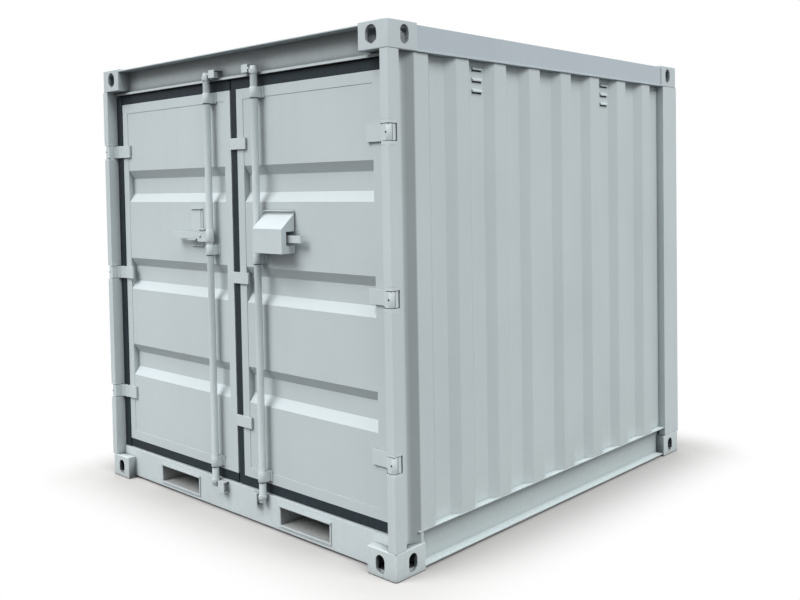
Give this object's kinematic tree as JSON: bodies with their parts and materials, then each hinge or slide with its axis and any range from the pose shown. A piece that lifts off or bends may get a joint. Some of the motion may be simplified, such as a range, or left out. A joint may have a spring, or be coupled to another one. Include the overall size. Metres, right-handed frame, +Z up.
{
  "type": "storage container",
  "caption": "Small steel storage container with ribbed walls, corner castings, fork pockets, paired end doors on pin hinges, turning lock bars with handles and a lock box.",
  "frame": {"origin": "on the ground, midway between the four bottom corner castings' slots", "axes": "+X from the door end to the rear wall, +Y to the left-hand side seen from the doors, +Z up"},
  "size_m": [2.458, 2.2, 2.26],
  "materials": {
    "paint_frame": "satin paint",
    "paint_wall": "satin paint",
    "paint_door": "satin paint",
    "paint_casting": "satin paint",
    "paint_fittings": "satin paint",
    "paint_under": "matt paint",
    "gasket_rubber": "matt",
    "floor_wood": "worn plywood"
  },
  "bodies": {
    "container": {"door_post_left": "paint_frame", "door_post_right": "paint_frame", "rear_post_left": "paint_frame", "rear_post_right": "paint_frame", "bottom_rail_left": "paint_frame", "bottom_rail_right": "paint_frame", "top_rail_left": "paint_frame", "top_rail_right": "paint_frame", "door_header": "paint_frame", "door_sill": "paint_frame", "rear_top_rail": "paint_frame", "rear_bottom_rail": "paint_frame", "side_wall_left": "paint_wall", "side_wall_right": "paint_wall", "rear_wall": "paint_wall", "roof": "paint_wall", "roof_margins": "paint_wall", "header_flange": "paint_frame", "floor_boards": "floor_wood", "cross_members": "paint_under", "fork_tunnels": "paint_under", "vent_louvres": "paint_wall", "hinge_lugs": "paint_fittings", "cam_keepers": "paint_fittings", "bottom_corner_castings": "paint_casting", "top_corner_castings": "paint_casting"},
    "door_left": {"door_frame_left": "paint_door", "door_panel_left": "paint_door", "door_gasket_left": "gasket_rubber", "hinge_blades_left": "paint_fittings", "bar_guides_left": "paint_fittings", "handle_catch": "paint_fittings", "catch_plate": "paint_fittings"},
    "door_right": {"door_frame_right": "paint_door", "door_panel_right": "paint_door", "door_gasket_right": "gasket_rubber", "hinge_blades_right": "paint_fittings", "bar_guides_right": "paint_fittings", "meeting_tabs": "paint_fittings"},
    "lock_bar_left": {"lock_bar_left": "paint_fittings"},
    "handle_left": {"lock_handle_left": "paint_fittings"},
    "lock_bar_right": {"lock_bar_right": "paint_fittings", "lock_handle_right": "paint_fittings", "lock_box": "paint_fittings"}
  },
  "joints": [
    {"name": "door_right_swing", "type": "hinge", "parent": "container", "child": "door_right", "pos_m": [-1.203, -1.084, 1.143], "axis": [0, 0, 1], "range_deg": [0, 260]},
    {"name": "door_left_swing", "type": "hinge", "parent": "container", "child": "door_left", "pos_m": [-1.203, 1.084, 1.143], "axis": [0, 0, -1], "range_deg": [0, 260]},
    {"name": "lock_bar_right_turn", "type": "hinge", "parent": "door_right", "child": "lock_bar_right", "pos_m": [-1.194, -0.22, 1.145], "axis": [0, 0, 1], "range_deg": [-100, 0]},
    {"name": "lock_bar_left_turn", "type": "hinge", "parent": "door_left", "child": "lock_bar_left", "pos_m": [-1.194, 0.153, 1.145], "axis": [0, 0, -1], "range_deg": [-100, 0]},
    {"name": "handle_left_lift", "type": "hinge", "parent": "lock_bar_left", "child": "handle_left", "pos_m": [-1.194, 0.221, 1.368], "axis": [1, 0, 0], "range_deg": [0, 20]}
  ]
}
